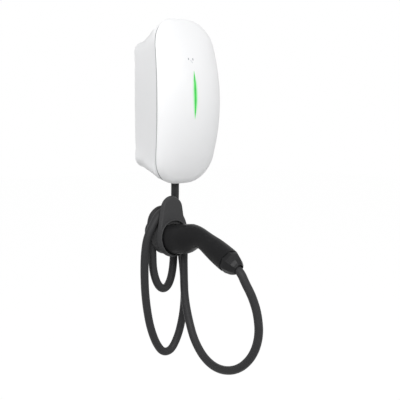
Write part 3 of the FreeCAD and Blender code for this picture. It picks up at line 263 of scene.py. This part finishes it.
@dataclass(frozen=True)
class MouldedPlastic:
    """Injection moulded plastic: a nearly even colour, the tool's grain and slow flow marks.

    The grain gives the soft broken highlight, the flow a slow change of tone and gloss; where
    asked, painted shade greys the shell along its shut line.
    """

    name: str
    face: str
    deep: str
    grain_mm: float
    grain_depth_mm: float
    roughness: float
    spread: float
    coat: Coat = Coat.SATIN
    flow_mm: float = 60.0
    specular: float = 0.5
    painted_seam_shade: bool = False

    def build(self) -> bpy.types.Material:
        """Makes the material."""
        material, tree, shader = start_material(self.name)
        place = object_place(tree)
        flow = noise(tree, place, self.flow_mm, detail=3.0, roughness=0.55)
        tint = mix_colour(tree, flow, linear(self.deep), linear(self.face))
        # paints shade along the shut line between housing and cover
        if self.painted_seam_shade:
            tint = seam_shade(tree, place, tint)
        tree.links.new(tint, shader.inputs["Base Color"])
        vary_gloss(tree, shader, flow, self.roughness - self.spread, self.roughness + self.spread)
        grain = noise(tree, place, self.grain_mm, detail=2.0, roughness=0.6)
        emboss(tree, shader, grain, self.grain_depth_mm)
        set_shader(shader, IOR=1.5, Specular_IOR_Level=self.specular)
        if self.coat is Coat.POLISHED:
            set_shader(shader, Coat_Weight=0.2, Coat_Roughness=0.08)
        return material


@dataclass(frozen=True)
class CoverWithPaintedGlow:
    """White ABS front: fine satin grain, and the light bar's green light painted into the colour
    around the slot's edge.
    """

    name: str = "abs_white_front"
    face: str = "F4F4F5"
    deep: str = "EFF0F1"
    # painted light: the bar's green, painted onto the white around the slot
    glow: str = "ABF2B4"
    bar_half_mm: float = 51.0
    painted_glow_reach_mm: float = 8.5
    fade_start: float = 0.45
    fade_end: float = 1.05
    strength: float = 0.75
    # nine spots to the metre, and fourteen hundred
    flow_mm: float = 1000.0 / 9.0
    grain_mm: float = 1000.0 / 1400.0
    grain_depth_mm: float = 0.012

    def build(self) -> bpy.types.Material:
        """Makes the material."""
        material, tree, shader = start_material(self.name)
        place = object_place(tree)
        flow = noise(tree, place, self.flow_mm, detail=2.0)
        base = mix_colour(tree, flow, linear(self.deep), linear(self.face))
        # distance from the bar's middle, squeezed so that it is one on the edge of the painted
        # green light
        centred = add(tree, "ShaderNodeMapping",
                      {"Vector": place, "Location": (0.0, 0.0, -BAR_CENTRE_MM / self.bar_half_mm),
                       "Scale": (1.0 / (self.painted_glow_reach_mm * MM), 0.0, 1.0 / (self.bar_half_mm * MM))})
        reach = add(tree, "ShaderNodeVectorMath", {0: centred.outputs["Vector"]},
                    operation="LENGTH")
        painted_glow_share = add(tree, "ShaderNodeMapRange",
                   {"Value": reach.outputs["Value"], "From Min": self.fade_start,
                    "From Max": self.fade_end, "To Min": self.strength, "To Max": 0.0},
                   interpolation_type="SMOOTHERSTEP")
        # painted light: the bar's green glow mixed into the surface colour, strongest beside the
        # slot
        green = mix_colour(tree, painted_glow_share.outputs["Result"], base, linear(self.glow))
        # painted shade along the shut line
        colour = seam_shade(tree, place, green, reach_mm=1.1)
        tree.links.new(colour, shader.inputs["Base Color"])
        grain = noise(tree, place, self.grain_mm, detail=2.0)
        emboss(tree, shader, grain, self.grain_depth_mm)
        set_shader(shader, Roughness=0.34, IOR=1.52, Coat_Weight=0.15, Coat_Roughness=0.12)
        return material


@dataclass(frozen=True)
class LitAcrylic:
    """Milky acrylic lit from behind: deepest green along its middle, paler at its rim."""

    name: str = "acrylic_lit_green"
    core: str = "3FE653"
    rim: str = "D2FFD8"
    body: str = "1C6A28"
    half_width_mm: float = 4.1
    half_length_mm: float = 49.0
    tip_mm: float = 0.3
    pale_start: float = 0.45
    pale_end: float = 0.95
    # the wave's scale; fourteen gives a wave every 22 mm
    ripple: float = 14.0
    dim: float = 0.64
    bright: float = 0.72

    def build(self) -> bpy.types.Material:
        """Makes the material."""
        material, tree, shader = start_material(self.name)
        place = object_place(tree)
        split = add(tree, "ShaderNodeSeparateXYZ", {"Vector": place})
        along = add(tree, "ShaderNodeMapRange",
                    {"Value": split.outputs["Z"], "To Min": -1.0,
                     "From Min": (BAR_CENTRE_MM - self.half_length_mm) * MM,
                     "From Max": (BAR_CENTRE_MM + self.half_length_mm) * MM}).outputs["Result"]
        # the lens shape's half width at this height, and how far out towards it a point lies
        edge = add(tree, "ShaderNodeMapRange",
                   {"Value": combine(tree, "MULTIPLY", along, along),
                    "To Min": self.half_width_mm * MM, "To Max": self.tip_mm * MM})
        ratio = combine(tree, "DIVIDE", combine(tree, "ABSOLUTE", split.outputs["X"]),
                        edge.outputs["Result"])
        share = add(tree, "ShaderNodeMapRange",
                    {"Value": ratio, "From Min": self.pale_start, "From Max": self.pale_end},
                    interpolation_type="SMOOTHSTEP")
        colour = mix_colour(tree, share.outputs["Result"], linear(self.core), linear(self.rim))
        # the lamps behind show as a slow ripple of brightness
        ripple = add(tree, "ShaderNodeTexWave",
                     {"Vector": place, "Scale": self.ripple, "Distortion": 0.0},
                     bands_direction="Z")
        level = add(tree, "ShaderNodeMapRange", {"Value": ripple.outputs["Fac"],
                                                 "To Min": self.dim, "To Max": self.bright})
        tree.links.new(colour, shader.inputs["Emission Color"])
        tree.links.new(level.outputs["Result"], shader.inputs["Emission Strength"])
        shader.inputs["Base Color"].default_value = linear(self.body)
        set_shader(shader, Roughness=0.22, IOR=1.49)
        return material


@dataclass(frozen=True)
class CableSheath:
    """Extruded polyurethane sheath: satin, finely pitted, with slow changes of tone and gloss."""

    name: str = "polyurethane_sheath_black"
    face: str = "363637"
    deep: str = "303031"
    roughness: float = 0.45
    spread: float = 0.05
    wave_mm: float = 25.0
    pit_mm: float = 0.9
    pit_depth_mm: float = 0.03

    def build(self) -> bpy.types.Material:
        """Makes the material."""
        material, tree, shader = start_material(self.name)
        place = object_place(tree)
        slow = noise(tree, place, self.wave_mm, detail=3.0)
        tree.links.new(mix_colour(tree, slow, linear(self.deep), linear(self.face)),
                       shader.inputs["Base Color"])
        vary_gloss(tree, shader, slow, self.roughness - self.spread, self.roughness + self.spread)
        pits = noise(tree, place, self.pit_mm, detail=3.0, roughness=0.65)
        emboss(tree, shader, pits, self.pit_depth_mm)
        set_shader(shader, IOR=1.5, Specular_IOR_Level=0.14)
        return material


@dataclass(frozen=True)
class PlatedMetal:
    """Zinc or silver plated metal: bright, with the plating's fine mottling and dull patches."""

    name: str
    face: str
    deep: str
    roughness: float = 0.34
    mottle_mm: float = 2.5
    brighter: float = 0.06
    duller: float = 0.10

    def build(self) -> bpy.types.Material:
        """Makes the material."""
        material, tree, shader = start_material(self.name)
        cells = add(tree, "ShaderNodeTexVoronoi",
                    {"Vector": object_place(tree), "Scale": 1.0 / (self.mottle_mm * MM)},
                    feature="F1").outputs["Distance"]
        tree.links.new(mix_colour(tree, cells, linear(self.face), linear(self.deep)),
                       shader.inputs["Base Color"])
        vary_gloss(tree, shader, cells, self.roughness - self.brighter,
                   self.roughness + self.duller, start=0.0, end=1.0)
        set_shader(shader, Metallic=1.0)
        return material


@dataclass(frozen=True)
class SoftRubber:
    """Moulded rubber or foam: matt, dusty where the light grazes it."""

    name: str
    face: str
    deep: str
    pore_mm: float = 0.6
    pore_depth_mm: float = 0.06

    def build(self) -> bpy.types.Material:
        """Makes the material."""
        material, tree, shader = start_material(self.name)
        pores = noise(tree, object_place(tree), self.pore_mm, detail=4.0)
        tree.links.new(mix_colour(tree, pores, linear(self.deep), linear(self.face)),
                       shader.inputs["Base Color"])
        emboss(tree, shader, pores, self.pore_depth_mm)
        set_shader(shader, Roughness=0.78, Sheen_Weight=0.12)
        return material


@dataclass(frozen=True)
class CircuitBoard:
    """Glass fibre board under solder mask, with a net of copper tracks that shows through."""

    name: str
    mask: str
    track: str
    field_mm: float = 10.16
    track_share: float = 0.05
    copper_mm: float = 0.04

    def build(self) -> bpy.types.Material:
        """Makes the material."""
        material, tree, shader = start_material(self.name)
        # the pattern is laid out flat, so it is turned up to face the front
        upright = add(tree, "ShaderNodeMapping", {"Vector": object_place(tree),
                                                  "Rotation": (math.radians(90.0), 0.0, 0.0)})
        tracks = add(tree, "ShaderNodeTexBrick",
                     {"Vector": upright.outputs["Vector"], "Mortar Size": self.track_share,
                      "Scale": 1.0 / (self.field_mm * MM), "Color1": linear(self.mask),
                      "Color2": linear(self.mask), "Mortar": linear(self.track)})
        tree.links.new(tracks.outputs["Color"], shader.inputs["Base Color"])
        emboss(tree, shader, tracks.outputs["Fac"], self.copper_mm)
        set_shader(shader, Roughness=0.3)
        return material


def deselect_all() -> None:
    """Clears the selection, which the import leaves full."""
    for obj in list(bpy.context.selected_objects):
        obj.select_set(False)


def select_only(obj: bpy.types.Object) -> None:
    """Makes one object the selected and active one."""
    deselect_all()
    obj.select_set(True)
    bpy.context.view_layer.objects.active = obj


def settle(obj: bpy.types.Object) -> None:
    """Puts an object's place, turn and size into its mesh."""
    select_only(obj)
    bpy.ops.object.transform_apply(location=True, rotation=True, scale=True)


def finish_with(obj: bpy.types.Object, kind: str, name: str, **settings: object) -> None:
    """Adds one modifier and applies it.

    Args:
        obj: the piece.
        kind: the modifier's type.
        name: the modifier's name.
        settings: its properties.
    """
    select_only(obj)
    modifier = obj.modifiers.new(name, kind)
    for key, value in settings.items():
        setattr(modifier, key, value)
    bpy.ops.object.modifier_apply(modifier=name)


def dress(node: str, material: bpy.types.Material) -> None:
    """Gives a node of the frame its finish."""
    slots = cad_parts[node].data.materials
    if len(slots) == 0:
        slots.append(material)
    for i in range(len(slots)):
        slots[i] = material


def resurface(node: str, material: bpy.types.Material, name: str, angle: float = SHARP_ANGLE,
              bevel_mm: float = 0.0) -> None:
    """Stands a merged, smoothly shaded copy in for a node of the frame.

    Args:
        node: the node.
        material: its finish.
        name: the new piece's name.
        angle: edges sharper than this stay sharp, in degrees.
        bevel_mm: width of a small bevel on those edges.
    """
    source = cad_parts[node]
    piece = source.copy()
    piece.data = source.data.copy()
    piece.name = name
    piece.data.name = name
    for key in list(piece.keys()):
        del piece[key]
    piece.parent = None
    bpy.context.scene.collection.objects.link(piece)
    select_only(piece)
    bpy.ops.object.mode_set(mode="EDIT")
    bpy.ops.mesh.select_all(action="SELECT")
    bpy.ops.mesh.remove_doubles(threshold=WELD)
    bpy.ops.mesh.customdata_custom_splitnormals_clear()
    bpy.ops.object.mode_set(mode="OBJECT")
    if bevel_mm > 0.0:
        finish_with(piece, "BEVEL", "soft_edge", width=bevel_mm * MM, segments=3,
                    limit_method="ANGLE", angle_limit=math.radians(angle), harden_normals=False)
    select_only(piece)
    bpy.ops.object.shade_smooth_by_angle(angle=math.radians(angle))
    piece.data.materials.clear()
    piece.data.materials.append(material)
    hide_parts(node)
    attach(piece, ROOT)
    LOG.info("resurfaced %s", node)


@dataclass
class WallBox:
    """The domed white box with its light bar, reader mark and everything inside it."""

    # each stroke: across, height, length, width (mm), lean (degrees), colour
    strokes: tuple[tuple[float, float, float, float, float, str], ...] = (
        (-10.4, 84.0, 4.3, 2.6, 0.0, "A9ABAF"),
        (1.0, 83.7, 4.6, 2.4, 0.0, "A2A4A9"),
        (-3.2, 79.0, 7.6, 1.3, 38.0, "C4C6CA"),
    )
    # a stroke starts this far in front of the wall and is pressed back onto the cover
    start_mm: float = 200.0
    corner_share: float = 0.42
    lift_mm: float = 0.04
    film_mm: float = 0.06

    def build(self) -> None:
        """Dresses the box's nodes and adds its printed mark."""
        # the housing's white carries painted shade along its shut line
        white = MouldedPlastic("abs_white_satin", "F5F5F6", "F0F1F2", grain_mm=0.7,
                               grain_depth_mm=0.012, roughness=0.36, spread=0.04,
                               coat=Coat.POLISHED, painted_seam_shade=True).build()
        resurface("front_cover", CoverWithPaintedGlow().build(), "front_cover_skin")
        resurface("rear_housing", white, "rear_housing_shell")
        dress("light_guide", LitAcrylic().build())
        self.mark_reader()
        self.dress_inside()

    def dress_inside(self) -> None:
        """Finishes what lies inside and behind the box."""
        steel = PlatedMetal("steel_zinc_plated", "B9BCC0", "9A9EA3").build()
        screws = PlatedMetal("screw_zinc_plated", "A9ACB1", "85898F", roughness=0.30,
                             mottle_mm=0.8).build()
        dress("wall_bracket", steel)
        for node in ("bracket_screws", "cover_screws", "board_screws", "dock_fixing_screw",
                     "dock_shield_screws"):
            dress(node, screws)
        dress("dock_wall_plate", steel)
        rubber = SoftRubber("rubber_black_moulded", "242425", "161617").build()
        for node in ("supply_grommet", "gland_seal", "strain_seal"):
            dress(node, rubber)
        foam = SoftRubber("foam_cord_black", "303032", "1C1C1E", pore_mm=1.2).build()
        dress("housing_gasket", foam)
        green = CircuitBoard("board_green_mask", "0E5A33", "1C7A48").build()
        dress("main_board", green)
        dress("reader_board", green)
        dress("light_board", CircuitBoard("board_white_mask", "E4E4DF", "C9C8BE").build())
        carrier = MouldedPlastic("abs_grey_carrier", "5A5C5F", "515356", grain_mm=0.8,
                                 grain_depth_mm=0.02, roughness=0.5, spread=0.05).build()
        dress("front_frame", carrier)
        block = MouldedPlastic("epoxy_filled_block", "1E1F21", "17181A", grain_mm=0.5,
                               grain_depth_mm=0.02, roughness=0.42, spread=0.06).build()
        for node in ("power_relay_left", "power_relay_right", "power_supply_block"):
            dress(node, block)
        ring = MouldedPlastic("lacquer_blue_ring", "1F3E78", "193364", grain_mm=0.9,
                              grain_depth_mm=0.02, roughness=0.3, spread=0.05).build()
        dress("leakage_sensor", ring)
        grey = MouldedPlastic("polyamide_grey_terminal", "8E9294", "838789", grain_mm=0.6,
                              grain_depth_mm=0.02, roughness=0.5, spread=0.04).build()
        dress("supply_terminals", grey)
        dress("cable_terminals", grey)
        can = PlatedMetal("tin_bright_can", "C9CBCE", "AEB1B5", roughness=0.25,
                          mottle_mm=1.5).build()
        dress("capacitors", can)
        dress("wireless_module", can)

    def mark_reader(self) -> None:
        """Prints the small mark of three strokes on the cover where a card is held."""
        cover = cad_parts["front_cover"]
        for i, (across, high, length, width, lean, colour) in enumerate(self.strokes):
            deselect_all()
            bpy.ops.mesh.primitive_plane_add(
                size=1.0, location=(across * MM, -self.start_mm * MM, high * MM),
                rotation=(math.radians(90.0), math.radians(-lean), 0.0))
            stroke = bpy.context.object
            stroke.name = "reader_mark_%d" % (i + 1)
            stroke.scale = (width * MM, length * MM, 1.0)
            settle(stroke)
            bpy.ops.object.mode_set(mode="EDIT")
            bpy.ops.mesh.select_all(action="SELECT")
            bpy.ops.mesh.bevel(offset=width * self.corner_share * MM, segments=4,
                               affect="VERTICES")
            bpy.ops.mesh.select_all(action="SELECT")
            bpy.ops.mesh.quads_convert_to_tris()
            bpy.ops.mesh.subdivide(number_cuts=2)
            bpy.ops.object.mode_set(mode="OBJECT")
            finish_with(stroke, "SHRINKWRAP", "on_cover", target=cover, wrap_method="PROJECT",
                        use_project_y=True, use_positive_direction=True,
                        use_negative_direction=False, offset=self.lift_mm * MM)
            finish_with(stroke, "SOLIDIFY", "ink_film", thickness=self.film_mm * MM, offset=0.0)
            ink = MouldedPlastic("ink_grey_%d" % (i + 1), colour, colour, grain_mm=0.5,
                                 grain_depth_mm=0.004, roughness=0.45, spread=0.03)
            stroke.data.materials.append(ink.build())
            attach(stroke, ROOT)
        LOG.info("printed the reader mark")


@dataclass
class DockAndPlug:
    """The black wall dock with the plug in it."""

    def build(self) -> None:
        """Dresses the dock, plug, nut and gland."""
        dock = MouldedPlastic("nylon_black_grained", "434344", "3D3D3E", grain_mm=0.8,
                              grain_depth_mm=0.05, roughness=0.50, spread=0.05,
                              coat=Coat.GRAINED, flow_mm=45.0, specular=0.12).build()
        plug = MouldedPlastic("polycarbonate_black_satin", "1D1D1E", "19191A", grain_mm=0.6,
                              grain_depth_mm=0.02, roughness=0.40, spread=0.05,
                              flow_mm=35.0, specular=0.10).build()
        nut = MouldedPlastic("nylon_black_nut", "1E1E1F", "1A1A1B", grain_mm=0.5,
                             grain_depth_mm=0.02, roughness=0.34, spread=0.05,
                             specular=0.16).build()
        resurface("dock_shield", dock, "dock_shield_skin")
        resurface("dock_body", dock, "dock_body_skin")
        resurface("plug_housing", plug, "plug_shell")
        resurface("clamp_nut", nut, "clamp_nut_soft", angle=12.0, bevel_mm=0.7)
        dress("contact_carrier", plug)
        silver = PlatedMetal("silver_plated_contact", "D6D4CC", "BDBBB2", roughness=0.22,
                             mottle_mm=1.0).build()
        dress("plug_contacts", silver)
        gland = MouldedPlastic("nylon_black_gland", "303031", "2A2A2B", grain_mm=0.7,
                               grain_depth_mm=0.03, roughness=0.46, spread=0.05,
                               specular=0.2).build()
        for node in ("gland_body", "gland_locknut", "gland_nut"):
            dress(node, gland)


@dataclass
class ChargingCable:
    """The charging cable: from the gland, twice over the dock's neck, down and up to the plug."""

    diameter: float = 0.0165
    # the line's guide points: across, out from the wall and up, in mm
    route: tuple[Point, ...] = (
        (0.0, 26.0, -151.4),
        (0.0, 26.0, -172.0),
        (3.0, 22.0, -197.0),
        (8.5, 14.5, -226.0),
        (9.5, 12.4, -258.0),
        (7.4, 12.4, -294.0),
        (5.1, 14.6, -328.9),
        (-3.3, 19.0, -358.6),
        (-15.3, 23.0, -378.2),
        (-29.7, 26.0, -385.5),
        (-44.2, 28.4, -380.1),
        (-55.7, 29.6, -363.7),
        (-63.5, 29.8, -337.4),
        (-63.5, 29.2, -307.1),
        (-64.6, 27.8, -272.0),
        (-66.6, 28.0, -236.5),
        (-49.0, 28.2, -218.9),
        (-25.1, 28.2, -218.7),
        (-7.5, 28.2, -233.5),
        (3.0, 28.6, -256.0),
        (7.6, 29.2, -280.0),
        (12.3, 30.4, -308.2),
        (17.4, 31.0, -344.7),
        (24.2, 28.0, -392.7),
        (24.9, 24.0, -436.1),
        (18.4, 21.0, -474.6),
        (8.7, 19.0, -501.5),
        (-6.2, 18.0, -522.1),
        (-28.2, 18.0, -522.3),
        (-45.8, 19.0, -501.2),
        (-58.9, 20.4, -474.3),
        (-68.8, 21.6, -444.3),
        (-79.8, 25.4, -394.4),
        (-85.6, 30.0, -344.5),
        (-88.4, 35.6, -302.8),
        (-86.3, 41.0, -269.7),
        (-73.8, 44.8, -244.8),
        (-57.5, 45.2, -222.4),
        (-33.0, 45.2, -217.2),
        (-10.5, 45.2, -226.0),
        (3.4, 45.8, -248.0),
        (7.4, 46.4, -277.0),
        (3.6, 48.6, -312.0),
        (-1.6, 54.9, -352.2),
        (-4.4, 60.0, -400.1),
        (-7.0, 76.0, -445.6),
        (-13.0, 101.0, -484.6),
        (-17.0, 138.9, -514.3),
        (-20.0, 185.2, -523.2),
        (-20.0, 233.7, -510.1),
        (-16.0, 267.7, -477.6),
        (-13.0, 281.8, -436.2),
        (-16.0, 279.8, -393.6),
        (-24.0, 273.0, -360.1),
        (-33.0, 263.9, -335.4),
        (-37.0, 254.0, -312.9),
        (-37.0, 230.9, -302.1),
    )
    length: float = 1.825

    def build(self) -> None:
        """Makes the cable as one smooth curve."""
        data = bpy.data.curves.new("charging_cable_line", "CURVE")
        data.dimensions = "3D"
        spline = data.splines.new("NURBS")
        spline.points.add(len(self.route) - 1)
        for point, (x, out, z) in zip(spline.points, self.route):
            point.co = (x * MM, -out * MM, z * MM, 1.0)
        spline.order_u = 3
        spline.use_endpoint_u = True
        spline.resolution_u = 10
        data.bevel_depth = self.diameter / 2
        data.bevel_resolution = 10
        data.use_fill_caps = True
        cable = bpy.data.objects.new("charging_cable_sheath", data)
        bpy.context.scene.collection.objects.link(cable)
        data.materials.append(CableSheath().build())
        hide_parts("charging_cable")
        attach(cable, ROOT)
        x, out, z = self.route[0]
        LOG.info("laid the cable")


@dataclass
class Studio:
    """Pale floor, soft lamps, white surroundings and the photograph's camera."""

    # the camera: its place in metres, its turn and tilt in degrees, its lens and sensor in mm
    eye: Point = (-1.0824, -1.2990, -0.0185)
    turn: float = 42.141
    down: float = 5.440
    lens: float = 72.887
    lens_shift: float = -0.03
    sensor: float = 36.0
    floor_z: float = -0.80
    floor_size: float = 14.0
    # what the floor shows: mostly its own white, for the rest paper that takes the shadow
    floor_share: float = 0.9
    floor_white: float = 1.08
    paper: str = "C4C4C4"
    # the surroundings' light, from low down to high up
    glow_low: float = 0.16
    glow_high: float = 0.44
    glow_reach: float = 0.7
    # each lamp: name, place and aim in metres, width in metres, power in watts
    lamps: tuple[tuple[str, Point, Point, float, float], ...] = (
        ("key", (-1.25, -2.2, 1.35), (0.0, 0.0, -0.1), 1.5, 49.0),
        ("side", (-2.5, -1.0, 0.5), (0.0, 0.0, -0.1), 1.3, 14.0),
        ("fill", (1.0, -2.6, 1.1), (0.0, 0.0, -0.1), 1.4, 9.0),
    )

    def build(self) -> None:
        """Sets up the whole studio."""
        self.lay_floor()
        self.light()
        self.surround()
        self.place_camera()

    def lay_floor(self) -> None:
        """Lays a white floor that still takes the object's shadow."""
        deselect_all()
        bpy.ops.mesh.primitive_plane_add(size=self.floor_size, location=(0.0, 0.0, self.floor_z))
        floor = bpy.context.object
        floor.name = "studio_floor"
        settle(floor)
        material = bpy.data.materials.new("paper_white_floor")
        material.use_nodes = True
        tree = material.node_tree
        tree.nodes.clear()
        ray = add(tree, "ShaderNodeLightPath").outputs
        seen = combine(tree, "MAXIMUM", ray["Is Camera Ray"], ray["Is Glossy Ray"])
        share = combine(tree, "MULTIPLY", seen, self.floor_share)
        paper = add(tree, "ShaderNodeBsdfDiffuse", {"Color": linear(self.paper)})
        glow = add(tree, "ShaderNodeEmission", {"Color": linear("FFFFFF"),
                                                "Strength": self.floor_white})
        mix = add(tree, "ShaderNodeMixShader", {0: share, 1: paper.outputs["BSDF"],
                                                2: glow.outputs["Emission"]})
        add(tree, "ShaderNodeOutputMaterial", {"Surface": mix.outputs["Shader"]})
        floor.data.materials.append(material)

    def light(self) -> None:
        """Hangs the soft lamps."""
        for name, place, aim, size, power in self.lamps:
            data = bpy.data.lights.new("lamp_" + name, "AREA")
            data.shape = "SQUARE"
            data.size = size
            data.energy = power
            lamp = bpy.data.objects.new("lamp_" + name, data)
            lamp.location = place
            lamp.rotation_euler = (Vector(aim) - Vector(place)).to_track_quat("-Z", "Y").to_euler()
            bpy.context.scene.collection.objects.link(lamp)

    def surround(self) -> None:
        """Makes the surroundings white to the eye and softly graded as light."""
        world = bpy.data.worlds.new("studio_surround")
        bpy.context.scene.world = world
        world.use_nodes = True
        tree = world.node_tree
        tree.nodes.clear()
        ray = add(tree, "ShaderNodeLightPath").outputs
        sight = combine(tree, "MAXIMUM", ray["Is Camera Ray"], ray["Is Glossy Ray"])
        seen = combine(tree, "MAXIMUM", sight, ray["Is Transmission Ray"])
        way = add(tree, "ShaderNodeTexCoord").outputs["Generated"]
        up = add(tree, "ShaderNodeSeparateXYZ", {"Vector": way}).outputs["Z"]
        level = add(tree, "ShaderNodeMapRange", {"Value": up, "From Min": -self.glow_reach,
                                                 "From Max": self.glow_reach,
                                                 "To Min": self.glow_low, "To Max": self.glow_high})
        soft = add(tree, "ShaderNodeBackground", {"Color": linear("FFFFFF"),
                                                  "Strength": level.outputs["Result"]})
        white = add(tree, "ShaderNodeBackground", {"Color": linear("FFFFFF"), "Strength": 1.0})
        mix = add(tree, "ShaderNodeMixShader", {0: seen, 1: soft.outputs["Background"],
                                                2: white.outputs["Background"]})
        add(tree, "ShaderNodeOutputWorld", {"Surface": mix.outputs["Shader"]})

    def place_camera(self) -> None:
        """Sets the camera where the photograph was taken from."""
        data = bpy.data.cameras.new("photo_camera")
        data.lens = self.lens
        data.sensor_width = self.sensor
        data.shift_y = self.lens_shift
        camera = bpy.data.objects.new("photo_camera", data)
        camera.location = self.eye
        camera.rotation_euler = (math.radians(90.0 - self.down), 0.0, math.radians(-self.turn))
        bpy.context.scene.collection.objects.link(camera)
        bpy.context.scene.camera = camera


def main() -> None:
    """Builds everything in order."""
    logging.basicConfig(level=logging.INFO, format="%(message)s")
    bpy.context.scene.view_settings.view_transform = "Standard"
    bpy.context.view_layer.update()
    WallBox().build()
    DockAndPlug().build()
    ChargingCable().build()
    Studio().build()
    bpy.context.view_layer.update()


if __name__ == "__main__":
    main()
